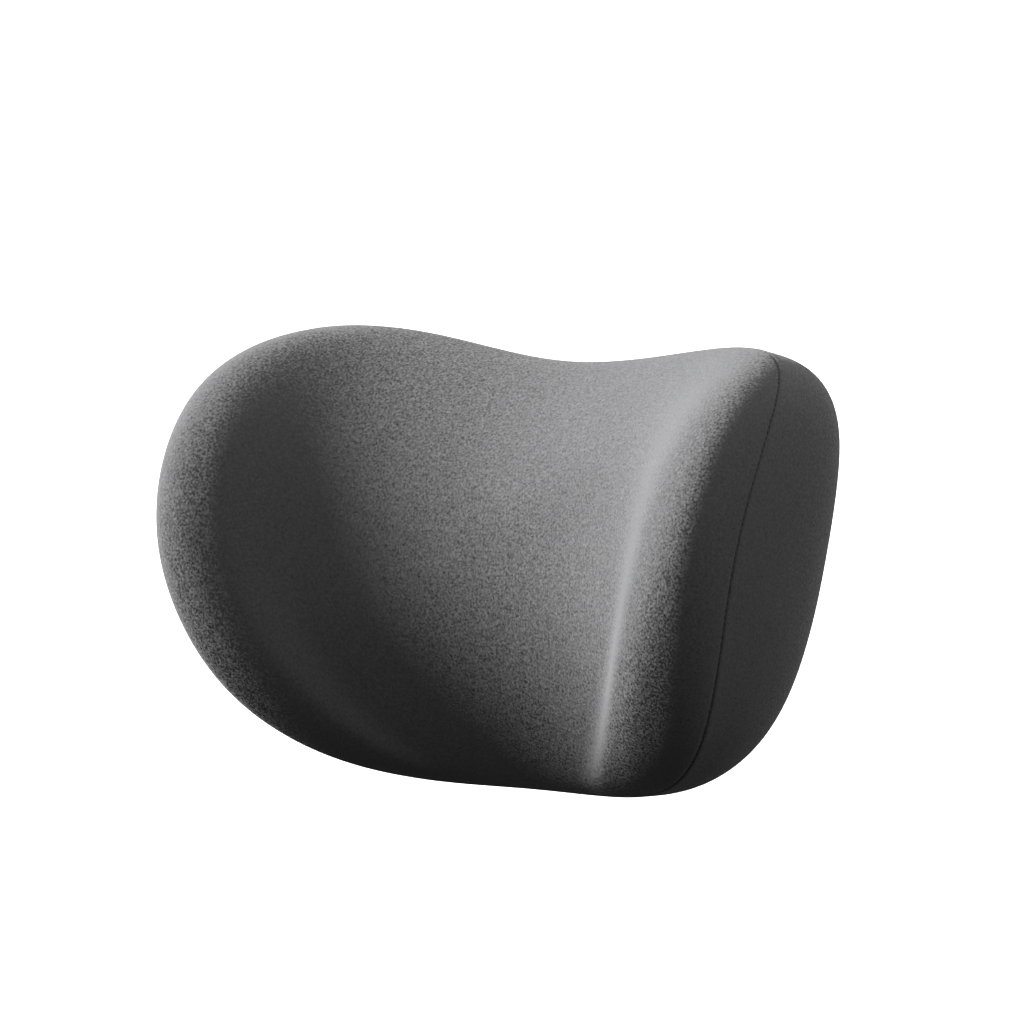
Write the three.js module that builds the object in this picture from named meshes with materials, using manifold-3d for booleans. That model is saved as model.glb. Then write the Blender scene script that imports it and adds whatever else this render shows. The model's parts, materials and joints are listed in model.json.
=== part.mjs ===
// Bolt-on headrest for an office chair: a winged, upholstered foam pad that tilts on a
// friction hinge, on a flat stem that slides in a latched housing behind the pad.
//
// Millimetres, +Z up, X across the chair, -Y towards the sitter's head. The origin is the
// middle of the mounting plate's rear face, the face that lies against the chair's back.

import * as THREE from 'three';
import { mergeVertices } from 'three/addons/utils/BufferGeometryUtils.js';
import Module from 'manifold-3d';

const wasm = await Module();
wasm.setup();

// ---------------------------------------------------------------------------------------
// Driving dimensions
// ---------------------------------------------------------------------------------------

const GAP = 0.3; // clearance between pieces that touch

// Pad: an outline with two wings that sweep forward, and a rounded skin on each side of it.
// A list holds a polynomial in the height above the pad's middle, which is 1 at the top.
const PAD = {
  halfWidth: 150,
  halfHeight: 108.6,
  squareness: 3.31, // superellipse power of the outline
  lobes: { three: 0.018, five: -0.008, six: 0.009 }, // how far the outline waves in and out
  topFlare: 0.065, // how much wider the top is than the middle
  topDip: 25.6, // the top edge is lower between the wings
  bottomRise: 9.1, // and the bottom edge is higher
  dipSpread: 0.83,
  wingSweep: 70.4, // how far forward the wing tips carry the seam
  wingSweepPower: 3.34,
  seamBow: [0, 5.3, 16.2, 10.7, -20.6], // and how the seam bows back along them
  frontDepth: 53.6, // front skin ahead of the seam, in the middle
  frontDepthAtTip: 51.7, // and what the tips add to it
  frontSwell: [0, -4.5, -17.3],
  frontRoundness: 1.81,
  rearDepth: 45,
  rearDepthAtTip: 45,
  rearFlat: 43, // the flat middle of the rear skin
  rearFlatBlend: 1.5,
  rearRoundness: 2.5,
  rearRoundnessAtTip: 1.04,
};

// The ridge down each wing, across the pad from 0 in the middle to 1 at the wing's tip.
const CREST = {
  height: [16.8, 4.9, 3],
  middle: [0.806, 0.109, -0.079, 0.151],
  width: [0.169, 0.101, 0.098],
  narrowest: 0.05,
  squareness: [2.46, -0.33],
  outerShare: 1.07, // its outer slope's width as a share of the inner one's
  blunt: 0.01,
};
const PAD_LEAN = THREE.MathUtils.degToRad(9.5); // at rest the top leans back
const COVER = 2; // laminated fabric
const STEPS_AROUND = 48;
const RINGS = 8;
const FINE = 24; // sides of the hinge's round parts
const BEYOND = 10; // how far a cutting tool runs past what it cuts

// Hinge axis, in the chair's frame and in the pad's own frame.
const HINGE = { y: -36, z: 51 };
const HINGE_IN_PAD = { y: PAD.rearFlat + 5, z: 14 };

// Hard parts inside and behind the pad, in the pad's own frame.
const BOARD = { width: 160, height: 84, thickness: 10, corner: 12, rear: PAD.rearFlat - 12, z: 8 };
const DISH = { width: 84, height: 64, rim: 8, wall: 2.5, corner: 14, z: HINGE_IN_PAD.z };
const BRACKET = { width: 68, height: 48, thickness: 3, corner: 8, earRadius: 10, earFoot: 16 };
const BRACKET_SCREW = { x: 26, z: 16, shank: 2.3, head: 4.6, headHeight: 2.8, length: 16 };

// Hinge stack, measured along X from the middle.
const BARREL = { radius: 9, halfLength: 12, bore: 6.3 };
const BUSH = { radius: 6, bore: 4.3, flangeRadius: 8.4, flange: 1, length: 9 };
const AXLE = { radius: 4, headRadius: 7, headHeight: 4.4 };
const DISC_SPRING = { outer: 7.5, thickness: 0.8, coneHeight: 0.5 };
const NUT = { acrossFlats: 13, height: 6.5 };

// Stem and its housing.
const STEM = { width: 30, thickness: 8, corner: 3, y: -15, bottom: -40, top: 61.5 };
const END_CAP = { height: 3, bevel: 1.5 };
const TRAVEL = 48; // height adjustment
const NOTCH = { depth: 3.5, pitch: 8 };
const LATCH = { z: 20, thickness: 3, travel: 4, bar: 3, clearance: 0.5 };
const HOUSING = { width: 62, bottom: -32, top: 34, corner: 6, sideWall: 3.3, lip: 2 };
const HOUSING_COVER = { thickness: 4.5, bevel: 1.2 };
const STOP_RIB = { halfWidth: 8, height: 1.6 };
const HOUSING_SCREW = { x: 25, low: -24, high: 30, shank: 2, head: 3.8, headHeight: 2.2 };
const LINER = { wall: 2, flange: 2.4, reach: 5 };
const COLLAR = { flange: 2, sideReach: 3, faceReach: 2.5 };
const STOP_SCREW = { z: -35, shank: 2, head: 3.5, headHeight: 2.2, length: 7 };
const NECK = { foot: 7, bottom: 38, top: 62, screwOffset: 7 };
const NECK_SCREW = { shank: 2.3, head: 4.5, headHeight: 2.8, length: 14 };
const BUTTON = { height: 9, depth: 12, proud: 6, corner: 2, flange: 2, lip: 0.7 };
const SPRING = { radius: 2.2, wire: 0.3, turns: 4 };

// Mounting plate with one upright slot in each ear.
const PLATE = { width: 60, height: 68, thickness: 4, corner: 5 };
const EAR = { width: 88, height: 32, z: -4, corner: 9 };
const SLOT = { x: 37.5, width: 6.6, height: 16 };

// Faces worked out from the above.
const STEM_REAR = STEM.y + STEM.thickness / 2;
const STEM_FRONT = STEM.y - STEM.thickness / 2;
const CAVITY_REAR = STEM_REAR + 2 * GAP + LINER.flange;
const CAVITY_FRONT = STEM_FRONT - 2 * GAP - LINER.flange;
const CAVITY_HALF_WIDTH = STEM.width / 2 + 2 * GAP + LINER.wall;
const HOUSING_REAR = -PLATE.thickness - GAP;
const HOUSING_FRONT = CAVITY_FRONT;
const COVER_REAR = HOUSING_FRONT - GAP;
const COVER_FRONT = COVER_REAR - HOUSING_COVER.thickness;
const LATCH_POCKET = HOUSING.width / 2 - HOUSING.sideWall;

// ---------------------------------------------------------------------------------------
// Materials
// ---------------------------------------------------------------------------------------

function material(color, roughness, metalness = 0) {
  return new THREE.MeshStandardMaterial({ color, roughness, metalness });
}

const FABRIC = material(0x35353a, 0.95);
const FOAM = material(0xd8cfa8, 1);
const PLYWOOD = material(0xb98f5c, 0.8);
const BLACK_NYLON = material(0x1b1b1d, 0.55);
const ACETAL = material(0xe6e4dc, 0.45);
const BLACK_STEEL = material(0x222326, 0.45, 0.6);
const ZINC_STEEL = material(0xb4b7ba, 0.35, 1);
const CAST_ALUMINIUM = material(0x8d9094, 0.4, 1);

// ---------------------------------------------------------------------------------------
// Solid helpers
// ---------------------------------------------------------------------------------------

function toSolid(geometry) {
  const bare = geometry.clone();
  bare.deleteAttribute('normal');
  bare.deleteAttribute('uv');
  const merged = mergeVertices(bare, 1e-4);
  return new wasm.Manifold(new wasm.Mesh({
    numProp: 3,
    vertProperties: new Float32Array(merged.attributes.position.array),
    triVerts: new Uint32Array(merged.index.array),
  }));
}

function toGeometry(solid) {
  const mesh = solid.getMesh();
  const geometry = new THREE.BufferGeometry();
  geometry.setAttribute('position', new THREE.BufferAttribute(mesh.vertProperties, 3));
  geometry.setIndex(new THREE.BufferAttribute(mesh.triVerts, 1));
  geometry.computeVertexNormals();
  return geometry;
}

function cut(body, tools) {
  return toGeometry(tools.reduce((left, tool) => left.subtract(toSolid(tool)), toSolid(body)));
}

function join(first, others) {
  return toGeometry(others.reduce((whole, other) => whole.add(toSolid(other)), toSolid(first)));
}

function box([xMin, xMax], [yMin, yMax], [zMin, zMax]) {
  const geometry = new THREE.BoxGeometry(xMax - xMin, yMax - yMin, zMax - zMin);
  geometry.translate((xMin + xMax) / 2, (yMin + yMax) / 2, (zMin + zMax) / 2);
  return geometry;
}

function roundedRectangle(width, height, radius, x = 0, z = 0) {
  const right = x + width / 2 - radius;
  const left = x - width / 2 + radius;
  const top = z + height / 2 - radius;
  const bottom = z - height / 2 + radius;
  const shape = new THREE.Shape();
  shape.absarc(right, top, radius, 0, Math.PI / 2);
  shape.absarc(left, top, radius, Math.PI / 2, Math.PI);
  shape.absarc(left, bottom, radius, Math.PI, 1.5 * Math.PI);
  shape.absarc(right, bottom, radius, 1.5 * Math.PI, 2 * Math.PI);
  shape.closePath();
  return shape;
}

// A shape drawn in X-Z, given thickness from its rear face forward.
function slab(shape, rear, front) {
  const options = { depth: rear - front, bevelEnabled: false, curveSegments: 3 };
  const geometry = new THREE.ExtrudeGeometry(shape, options);
  geometry.rotateX(Math.PI / 2);
  geometry.translate(0, rear, 0);
  return geometry;
}

// A shape drawn in Y-Z, given thickness along X.
function crosswise(shape, xMin, xMax) {
  const options = { depth: xMax - xMin, bevelEnabled: false, curveSegments: 7 };
  const geometry = new THREE.ExtrudeGeometry(shape, options);
  geometry.rotateX(Math.PI / 2);
  geometry.rotateZ(Math.PI / 2);
  geometry.translate(xMin, 0, 0);
  return geometry;
}

// A profile of [radius, place along Y] points, turned about the Y axis.
function turned(profile, segments = 14) {
  return new THREE.LatheGeometry(profile.map(([r, y]) => new THREE.Vector2(r, y)), segments);
}

function rod(radius, from, to, segments = 14) {
  return turned([[0, from], [radius, from], [radius, to], [0, to]], segments);
}

function alongX(geometry) {
  return geometry.rotateZ(-Math.PI / 2);
}

function at(geometry, x, y, z) {
  return geometry.translate(x, y, z);
}

// A socket-head screw: its head ends at y = 0 and the shank runs to y = length.
function screw({ shank, head, headHeight, length }) {
  const chamfer = 0.4;
  const body = turned([
    [0, -headHeight],
    [head - chamfer, -headHeight],
    [head, chamfer - headHeight],
    [head, 0],
    [shank, 0],
    [shank, length - chamfer],
    [shank - chamfer, length],
    [0, length],
  ]);
  const socketDepth = headHeight * 0.6;
  const socket = new THREE.CylinderGeometry(head / 2, head / 2, 2 * socketDepth, 6);
  return cut(body, [at(socket, 0, -headHeight, 0)]);
}

// ---------------------------------------------------------------------------------------
// Pad skin
// ---------------------------------------------------------------------------------------

const FRONT = -1;
const REAR = 1;

function polynomial(terms, x) {
  return terms.reduce((sum, term, power) => sum + term * x ** power, 0);
}

// The outline's direction at an angle, about 1 long at the middle of each side.
function outlineAt(angle) {
  const across = Math.cos(angle);
  const up = Math.sin(angle);
  const power = PAD.squareness;
  const square = (Math.abs(across) ** power + Math.abs(up) ** power) ** (-1 / power);
  const { three, five, six } = PAD.lobes;
  const wave = three * Math.sin(3 * angle) + five * Math.sin(5 * angle) + six * Math.cos(6 * angle);
  const reach = square * (1 + wave);
  return [reach * across, reach * up];
}

// The ridge leans outward as it rises, and is widest and highest at the top.
function crestAt(across, up) {
  const width = Math.max(polynomial(CREST.width, up), CREST.narrowest);
  const fromMiddle = (across - polynomial(CREST.middle, up)) / width;
  const slope = fromMiddle > 0 ? fromMiddle / CREST.outerShare : fromMiddle;
  const power = polynomial(CREST.squareness, up) / 2;
  return polynomial(CREST.height, up) * Math.exp(-((slope ** 2 + CREST.blunt) ** power));
}

function frontDepthAt(across, up) {
  const plain = PAD.frontDepth + PAD.frontDepthAtTip * across ** 2;
  return plain + crestAt(across, up) + polynomial(PAD.frontSwell, up);
}

function rearDepthAt(across) {
  return PAD.rearDepth + PAD.rearDepthAtTip * across ** 2;
}

// Eases the rear skin off at the flat that the hinge sits against.
function flattenRear(y) {
  const over = (y - PAD.rearFlat) / PAD.rearFlatBlend;
  return y - PAD.rearFlatBlend * Math.log1p(Math.exp(over));
}

// A point of the skin. angle goes round the outline; spread is 0 in the middle of the
// side and a quarter turn at the seam.
function skinPoint(side, angle, spread) {
  const tipShare = Math.cos(angle) ** 2;
  const rearPower = PAD.rearRoundness + PAD.rearRoundnessAtTip * tipShare;
  const power = side === FRONT ? PAD.frontRoundness : rearPower;
  const sine = Math.sin(spread);
  const cosine = Math.max(Math.cos(spread), 0);
  const reach = (sine ** power + cosine ** power) ** (-1 / power);
  const [outX, outZ] = outlineAt(angle);
  const px = reach * sine * outX;
  const pz = reach * sine * outZ;
  const across = Math.hypot(px, 0.01);
  const middleShare = Math.exp(-((px / PAD.dipSpread) ** 2));
  const dip = PAD.topDip * Math.max(pz, 0) ** 1.5;
  const rise = PAD.bottomRise * Math.max(-pz, 0) ** 1.5;
  const bow = across ** 2 * polynomial(PAD.seamBow, pz);
  const seamY = bow - PAD.wingSweep * across ** PAD.wingSweepPower;
  const depth = side === FRONT ? frontDepthAt(across, pz) : rearDepthAt(across);
  const y = seamY + side * depth * reach * cosine;
  return new THREE.Vector3(
    PAD.halfWidth * px * (1 + PAD.topFlare * pz),
    side === REAR ? flattenRear(y) : y,
    PAD.halfHeight * pz + middleShare * (rise - dip),
  );
}

// The outward direction of one side's skin.
function skinNormal(side, angle, spread) {
  const step = 0.02;
  const least = 0.06;
  const inner = skinPoint(side, angle, Math.max(spread - step, least));
  const outer = skinPoint(side, angle, Math.max(Math.min(spread + step, Math.PI / 2), least + step));
  const before = skinPoint(side, angle - step, Math.max(spread, least));
  const after = skinPoint(side, angle + step, Math.max(spread, least));
  const normal = outer.sub(inner).cross(after.sub(before));
  return normal.multiplyScalar(-side).normalize();
}

// A point a given depth under the skin. Both sides share one direction at the seam.
function insetPoint(side, angle, spread, inset) {
  const normal = skinNormal(side, angle, spread);
  if (spread > Math.PI / 2 - 1e-6) {
    normal.add(skinNormal(-side, angle, spread)).normalize();
  }
  return skinPoint(side, angle, spread).addScaledVector(normal, -inset);
}

// The middle point of one side, a given depth under the skin.
function middlePoint(side, inset) {
  return skinPoint(side, 0, 0).add(new THREE.Vector3(0, -side * inset, 0));
}

// Collects the triangles of a closed body.
class Skin {
  constructor() {
    this.places = [];
    this.triangles = [];
  }

  point(place) {
    this.places.push(place.x, place.y, place.z);
    return this.places.length / 3 - 1;
  }

  triangle(a, b, c, flip) {
    this.triangles.push(...(flip ? [a, c, b] : [a, b, c]));
  }

  // A band between two rings of the same number of points.
  band(inner, outer, flip) {
    inner.forEach((corner, i) => {
      const next = (i + 1) % inner.length;
      this.triangle(corner, outer[i], outer[next], flip);
      this.triangle(corner, outer[next], inner[next], flip);
    });
  }

  // One side of the pad, from its middle out to the ring it returns.
  side(side, inset, flip, seamShift, sharedRing) {
    const middle = this.point(middlePoint(side, inset));
    let previous = null;
    for (let k = 1; k <= RINGS; k += 1) {
      const spread = (k / RINGS) * (Math.PI / 2);
      const shift = k === RINGS ? seamShift : 0;
      const ring = k === RINGS && sharedRing ? sharedRing : this.ring(side, spread, inset, shift);
      if (previous) {
        this.band(previous, ring, flip);
      } else {
        ring.forEach((a, i) => this.triangle(middle, a, ring[(i + 1) % ring.length], flip));
      }
      previous = ring;
    }
    return previous;
  }

  ring(side, spread, inset, shift) {
    return Array.from({ length: STEPS_AROUND }, (_, i) => {
      const place = insetPoint(side, (2 * Math.PI * i) / STEPS_AROUND, spread, inset);
      place.y += shift;
      return this.point(place);
    });
  }

  geometry() {
    const geometry = new THREE.BufferGeometry();
    geometry.setAttribute('position', new THREE.Float32BufferAttribute(this.places, 3));
    geometry.setIndex(this.triangles);
    geometry.computeVertexNormals();
    return geometry;
  }
}

// One cover panel, from its middle to the seam.
function coverPanel(side) {
  const skin = new Skin();
  const flip = side === REAR;
  const seamShift = (side * GAP) / 2;
  const outer = skin.side(side, 0, flip, seamShift);
  const inner = skin.side(side, COVER, !flip, seamShift);
  skin.band(outer, inner, flip);
  return skin.geometry();
}

function foamBlock() {
  const skin = new Skin();
  const seam = skin.side(FRONT, COVER + GAP, false, 0);
  skin.side(REAR, COVER + GAP, true, 0, seam);
  return skin.geometry();
}

// ---------------------------------------------------------------------------------------
// Pad pieces, in the pad's own frame
// ---------------------------------------------------------------------------------------

const DISH_FLOOR = BOARD.rear + GAP;
const BRACKET_FRONT = DISH_FLOOR + DISH.wall + GAP;
const BRACKET_REAR = BRACKET_FRONT + BRACKET.thickness;
const DISH_RIM = PAD.rearFlat + GAP;
const EAR_INNER = BARREL.halfLength + 2 * GAP + BUSH.flange;
const EAR_OUTER = EAR_INNER + BRACKET.thickness;
const TEE_NUT = { radius: 3.3, bore: 2.6, flangeRadius: 9.5, flange: 1.2, length: 8 };

function bracketScrewPlaces() {
  const { x, z } = BRACKET_SCREW;
  const middle = HINGE_IN_PAD.z;
  return [[-x, middle - z], [x, middle - z], [-x, middle + z], [x, middle + z]];
}

function bracketHoles(radius, from, to) {
  return bracketScrewPlaces().map(([x, z]) => at(rod(radius, from, to), x, 0, z));
}

// The opening through cover and foam that the dish fills, enlarged by a clearance.
function dishOpening(front, clearance) {
  const width = DISH.width + 2 * clearance;
  const height = DISH.height + 2 * clearance;
  const outline = roundedRectangle(width, height, DISH.corner + clearance, 0, DISH.z);
  return slab(outline, PAD.rearFlat + BEYOND, front);
}

function frontCover() {
  return coverPanel(FRONT);
}

function rearCover() {
  return cut(coverPanel(REAR), [dishOpening(0, GAP)]);
}

function boardShape(clearance) {
  const width = BOARD.width + 2 * clearance;
  const height = BOARD.height + 2 * clearance;
  return roundedRectangle(width, height, BOARD.corner + clearance, 0, BOARD.z);
}

function foamCore() {
  const front = BOARD.rear - BOARD.thickness;
  const boardCavity = slab(boardShape(GAP), BOARD.rear + GAP, front - GAP);
  const nutHead = TEE_NUT.flange + 2 * GAP;
  const nutCavities = bracketHoles(TEE_NUT.flangeRadius + GAP, front - nutHead, front + 1);
  return cut(foamBlock(), [boardCavity, dishOpening(BOARD.rear - 1, GAP), ...nutCavities]);
}

function insertBoard() {
  const front = BOARD.rear - BOARD.thickness;
  const holes = bracketHoles(TEE_NUT.radius + GAP, front - 1, BOARD.rear + 1);
  return cut(slab(boardShape(0), BOARD.rear, front), holes);
}

function teeNut() {
  const { radius, bore, flangeRadius, flange, length } = TEE_NUT;
  return turned([
    [bore, -flange],
    [flangeRadius, -flange],
    [flangeRadius, 0],
    [radius, 0],
    [radius, length],
    [bore, length],
    [bore, -flange],
  ]);
}

// The moulded dish: a floor on the board, walls through the foam and a rim over the cover.
function hingeDish() {
  const rimShape = roundedRectangle(
    DISH.width + 2 * DISH.rim, DISH.height + 2 * DISH.rim, DISH.corner + DISH.rim, 0, DISH.z,
  );
  const wallShape = roundedRectangle(DISH.width, DISH.height, DISH.corner, 0, DISH.z);
  const hollowShape = roundedRectangle(
    DISH.width - 2 * DISH.wall, DISH.height - 2 * DISH.wall, DISH.corner - DISH.wall, 0, DISH.z,
  );
  const rimTop = DISH_RIM + DISH.wall;
  const whole = join(slab(rimShape, rimTop, DISH_RIM), [slab(wallShape, rimTop, DISH_FLOOR)]);
  const hollow = slab(hollowShape, rimTop + 1, DISH_FLOOR + DISH.wall);
  const holes = bracketHoles(BRACKET_SCREW.shank + GAP, DISH_FLOOR - 1, BRACKET_FRONT);
  return cut(whole, [hollow, ...holes]);
}

// A base plate with two upright ears that carry the hinge bolt.
function hingeBracket() {
  const base = slab(
    roundedRectangle(BRACKET.width, BRACKET.height, BRACKET.corner, 0, HINGE_IN_PAD.z),
    BRACKET_REAR,
    BRACKET_FRONT,
  );
  const { y, z } = HINGE_IN_PAD;
  const { earRadius, earFoot } = BRACKET;
  const ear = new THREE.Shape();
  ear.moveTo(BRACKET_FRONT + 1, z - earFoot);
  ear.lineTo(BRACKET_REAR, z - earFoot);
  ear.absarc(y, z, earRadius, -Math.PI / 3, Math.PI / 3);
  ear.lineTo(BRACKET_REAR, z + earFoot);
  ear.lineTo(BRACKET_FRONT + 1, z + earFoot);
  ear.closePath();
  const ears = [crosswise(ear, EAR_INNER, EAR_OUTER), crosswise(ear, -EAR_OUTER, -EAR_INNER)];
  const bore = at(alongX(rod(AXLE.radius + GAP, -BRACKET.width, BRACKET.width, FINE)), 0, y, z);
  const holes = bracketHoles(BRACKET_SCREW.shank + GAP, BRACKET_FRONT - 1, BRACKET_REAR + 1);
  return cut(join(base, ears), [bore, ...holes]);
}

// Bolt through both ears, head on the left, threaded end past the nut on the right.
function hingeBolt() {
  const nutEnd = EAR_OUTER + 4 * GAP + 2 * discSpringHeight() + NUT.height;
  const length = EAR_OUTER + GAP + nutEnd + 1;
  const bolt = screw({
    shank: AXLE.radius, head: AXLE.headRadius, headHeight: AXLE.headHeight, length,
  });
  return at(alongX(bolt), -EAR_OUTER - GAP, HINGE_IN_PAD.y, HINGE_IN_PAD.z);
}

function discSpringHeight() {
  return DISC_SPRING.thickness + DISC_SPRING.coneHeight;
}

// A coned spring washer; the pair on the bolt keeps the hinge stiff.
function discSpring(index) {
  const { outer, thickness, coneHeight } = DISC_SPRING;
  const inner = AXLE.radius + GAP;
  const cone = turned([
    [inner, coneHeight],
    [outer, 0],
    [outer, thickness],
    [inner, thickness + coneHeight],
    [inner, coneHeight],
  ], FINE);
  const x = EAR_OUTER + GAP + index * (discSpringHeight() + GAP);
  return at(alongX(cone), x, HINGE_IN_PAD.y, HINGE_IN_PAD.z);
}

function hingeNut() {
  const hexagon = new THREE.Shape();
  const corner = NUT.acrossFlats / Math.sqrt(3);
  for (let k = 0; k < 6; k += 1) {
    const angle = (k * Math.PI) / 3;
    hexagon.lineTo(corner * Math.cos(angle), corner * Math.sin(angle));
  }
  hexagon.closePath();
  const x = EAR_OUTER + 3 * GAP + 2 * discSpringHeight();
  const bore = alongX(rod(AXLE.radius + GAP, -BEYOND, BEYOND, FINE));
  const nut = cut(crosswise(hexagon, 0, NUT.height), [bore]);
  return at(nut, x, HINGE_IN_PAD.y, HINGE_IN_PAD.z);
}

// ---------------------------------------------------------------------------------------
// Sliding pieces
// ---------------------------------------------------------------------------------------

// Cast neck: a foot on the stem's front face, tapering to the barrel of the hinge.
function neck() {
  const footRear = STEM_FRONT - GAP;
  const footFront = footRear - NECK.foot;
  const profile = new THREE.Shape();
  profile.moveTo(footRear, NECK.bottom);
  profile.lineTo(footRear, NECK.top);
  profile.lineTo(footFront + 1, NECK.top);
  profile.absarc(HINGE.y, HINGE.z, BARREL.radius, Math.PI / 3, (5 * Math.PI) / 3);
  profile.lineTo(footFront + 1, NECK.bottom);
  profile.closePath();
  const body = crosswise(profile, -BARREL.halfLength, BARREL.halfLength);
  const boreEnd = BARREL.halfLength + BEYOND;
  const bore = at(alongX(rod(BARREL.bore, -boreEnd, boreEnd, FINE)), 0, HINGE.y, HINGE.z);
  const holeEnd = STEM_REAR + GAP - NECK_SCREW.length - GAP;
  const holes = neckScrewHeights().map(
    (z) => at(rod(NECK_SCREW.shank + GAP, holeEnd, footRear + 1), 0, 0, z),
  );
  return cut(body, [bore, ...holes]);
}

function neckScrewHeights() {
  const middle = (NECK.bottom + NECK.top) / 2;
  return [middle - NECK.screwOffset, middle + NECK.screwOffset];
}

// Head behind the stem, shank forward into the neck.
function neckScrew(z) {
  return at(screw(NECK_SCREW).rotateX(Math.PI), 0, STEM_REAR + GAP, z);
}

// Flanged bush; the two face each other in the barrel and rub against the ears.
function hingeBush(side) {
  const { radius, bore, flangeRadius, flange, length } = BUSH;
  const bush = turned([
    [bore, -length],
    [radius, -length],
    [radius, 0],
    [flangeRadius, 0],
    [flangeRadius, flange],
    [bore, flange],
    [bore, -length],
  ], FINE);
  alongX(bush);
  if (side < 0) {
    bush.rotateZ(Math.PI);
  }
  return at(bush, side * (BARREL.halfLength + GAP), HINGE.y, HINGE.z);
}

function notchHeights() {
  const count = TRAVEL / NOTCH.pitch + 1;
  return Array.from({ length: count }, (_, k) => LATCH.z - k * NOTCH.pitch);
}

// Flat bar with a row of notches down its left edge.
function stem() {
  const height = STEM.top - STEM.bottom;
  const middle = (STEM.top + STEM.bottom) / 2;
  const outline = roundedRectangle(STEM.width, height, STEM.corner, 0, middle);
  const bar = slab(outline, STEM_REAR, STEM_FRONT);
  const left = -STEM.width / 2;
  const halfNotch = LATCH.thickness / 2 + GAP;
  const throughBar = [STEM_FRONT - 1, STEM_REAR + 1];
  const notches = notchHeights().map(
    (z) => box([left - 1, left + NOTCH.depth], throughBar, [z - halfNotch, z + halfNotch]),
  );
  const holes = neckScrewHeights().map(
    (z) => at(rod(NECK_SCREW.shank + GAP, ...throughBar), 0, 0, z),
  );
  const stopHole = at(rod(STOP_SCREW.shank + GAP, ...throughBar), 0, 0, STOP_SCREW.z);
  return cut(bar, [...notches, ...holes, stopHole]);
}

// Its head runs up behind the stem and meets the housing's rib at the top of the travel.
function stopScrew() {
  return at(screw(STOP_SCREW).rotateX(Math.PI), 0, STEM_REAR + GAP, STOP_SCREW.z);
}

// Moulded cap under the stem, with its two lower edges bevelled.
function stemEndCap() {
  const { height, bevel } = END_CAP;
  const top = STEM.bottom - GAP;
  const block = box([-STEM.width / 2, STEM.width / 2], [STEM_FRONT, STEM_REAR], [top - height, top]);
  const edges = [-1, 1].map((side) => {
    const wedge = box([-bevel, bevel], [STEM_FRONT - 1, STEM_REAR + 1], [-bevel, bevel]);
    wedge.rotateY(Math.PI / 4);
    return at(wedge, side * (STEM.width / 2 + GAP), 0, top - height - GAP);
  });
  return cut(block, edges);
}

// ---------------------------------------------------------------------------------------
// Latch: a windowed plate round the stem, pushed by the button, returned by the spring
// ---------------------------------------------------------------------------------------

const STEM_HALF = STEM.width / 2;
const WINDOW_RIGHT = STEM_HALF + LATCH.travel + LATCH.clearance;
const WINDOW_LEFT = -STEM_HALF - 2.5; // room for the tooth to stand in
const PLATE_RIGHT = WINDOW_RIGHT + LATCH.bar;
const PLATE_LEFT = WINDOW_LEFT - LATCH.bar;
const BUTTON_INNER = LATCH_POCKET - GAP - BUTTON.flange;
const BUTTON_OUTER = HOUSING.width / 2 + BUTTON.proud;
const TONGUE = { depth: 8, end: BUTTON_INNER + 7 };

function latchPlate() {
  const low = LATCH.z - LATCH.thickness / 2;
  const heights = [low, low + LATCH.thickness];
  const cuts = [low - 1, low + LATCH.thickness + 1];
  const { clearance } = LATCH;
  const frame = [CAVITY_FRONT + clearance, CAVITY_REAR - clearance];
  const window = [STEM_FRONT - clearance, STEM_REAR + clearance];
  const tooth = [WINDOW_LEFT - 1, -STEM_HALF + NOTCH.depth - clearance];
  const tongue = [STEM.y - TONGUE.depth / 2, STEM.y + TONGUE.depth / 2];
  const ring = cut(
    box([PLATE_LEFT, PLATE_RIGHT], frame, heights),
    [box([WINDOW_LEFT, WINDOW_RIGHT], window, cuts)],
  );
  return join(ring, [
    box(tooth, [STEM_FRONT + 1, STEM_REAR - 1], heights),
    box([PLATE_RIGHT - 1, TONGUE.end], tongue, heights),
  ]);
}

function releaseButton() {
  const halfHeight = BUTTON.height / 2;
  const halfDepth = BUTTON.depth / 2;
  const { corner, lip } = BUTTON;
  const arcX = BUTTON_OUTER - corner;
  const arcZ = halfHeight - corner;
  const root = LATCH_POCKET - GAP;
  const cap = new THREE.Shape();
  cap.moveTo(root - 1, -halfHeight);
  cap.lineTo(arcX, -halfHeight);
  cap.absarc(arcX, -arcZ, corner, -Math.PI / 2, 0);
  cap.absarc(arcX, arcZ, corner, 0, Math.PI / 2);
  cap.lineTo(root - 1, halfHeight);
  cap.closePath();
  const pusher = at(slab(cap, halfDepth, -halfDepth), 0, STEM.y, LATCH.z);
  const flange = box(
    [BUTTON_INNER, root],
    [STEM.y - halfDepth - lip, STEM.y + halfDepth + lip],
    [LATCH.z - halfHeight - lip, LATCH.z + halfHeight + lip],
  );
  const halfSlot = LATCH.thickness / 2 + GAP;
  const slot = box(
    [BUTTON_INNER - 1, TONGUE.end + GAP],
    [STEM.y - TONGUE.depth / 2 - GAP, STEM.y + TONGUE.depth / 2 + GAP],
    [LATCH.z - halfSlot, LATCH.z + halfSlot],
  );
  return cut(join(pusher, [flange]), [slot]);
}

class Helix extends THREE.Curve {
  constructor(radius, length, turns) {
    super();
    this.radius = radius;
    this.length = length;
    this.turns = turns;
  }

  getPoint(t) {
    const angle = 2 * Math.PI * this.turns * t;
    const y = this.radius * Math.cos(angle);
    return new THREE.Vector3(this.length * t, y, this.radius * Math.sin(angle));
  }
}

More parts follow.
